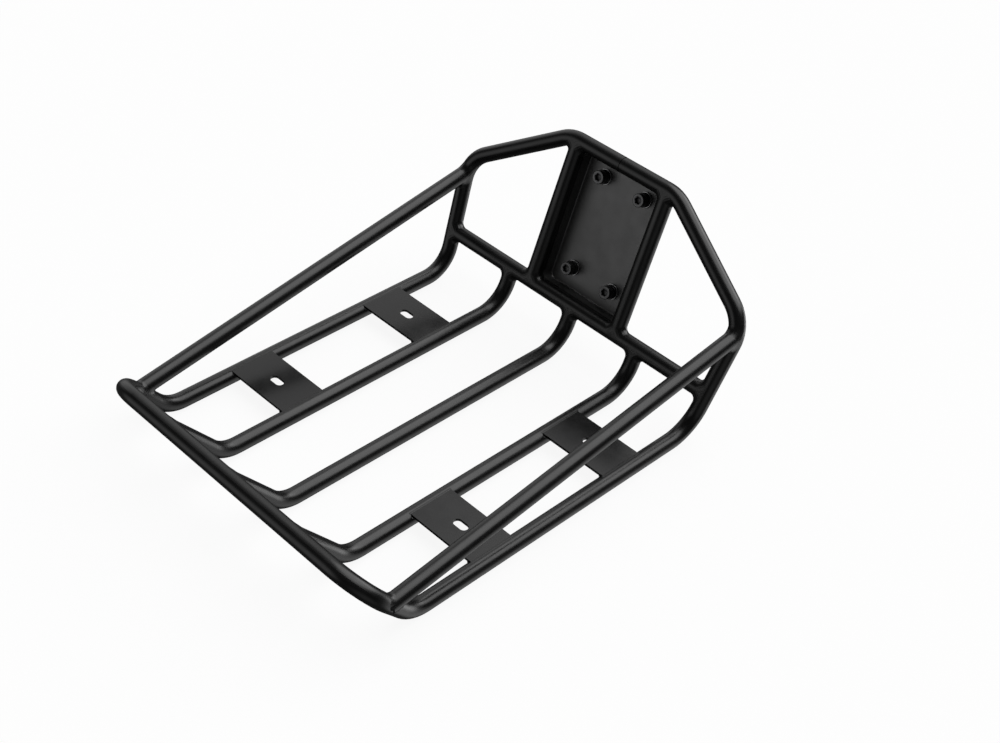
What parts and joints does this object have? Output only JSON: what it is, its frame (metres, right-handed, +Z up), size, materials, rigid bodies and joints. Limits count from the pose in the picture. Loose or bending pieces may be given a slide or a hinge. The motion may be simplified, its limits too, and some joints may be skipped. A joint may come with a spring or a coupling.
{
  "type": "bicycle front cargo rack",
  "caption": "Welded tube cargo rack with a low raised front bar, a leaning six-sided hoop at the back, side rails, slotted deck tabs and a recessed mounting tray with screws.",
  "frame": {"origin": "on the ground under the middle of the rack's box, half way across it", "axes": "+X across the rack, +Y from the raised front bar towards the hoop and the mounting tray, +Z up; the floor tubes rest on z = 0"},
  "size_m": [0.2798, 0.377, 0.1512],
  "materials": {
    "frame_coat": "satin black powder coat",
    "tab_coat": "satin black powder coat on flat sheet",
    "tray_coat": "matt black powder coat on pressed sheet",
    "screw_black": "black oxide, oiled",
    "spring_steel": "dark spring steel",
    "zinc_plate": "bright zinc plate"
  },
  "bodies": {
    "root": {"perimeter_tube": "frame_coat", "top_seam_weld": "frame_coat", "cross_tube": "frame_coat", "post_left": "frame_coat", "post_right": "frame_coat", "floor_tube_left": "frame_coat", "floor_tube_middle": "frame_coat", "floor_tube_right": "frame_coat", "side_rail_left": "frame_coat", "side_rail_right": "frame_coat", "deck_tab_front_left": "tab_coat", "deck_tab_front_right": "tab_coat", "deck_tab_rear_left": "tab_coat", "deck_tab_rear_right": "tab_coat", "mounting_tray": "tray_coat", "mounting_screws": "screw_black", "spring_washers": "spring_steel", "flat_washers": "zinc_plate"}
  },
  "joints": []
}
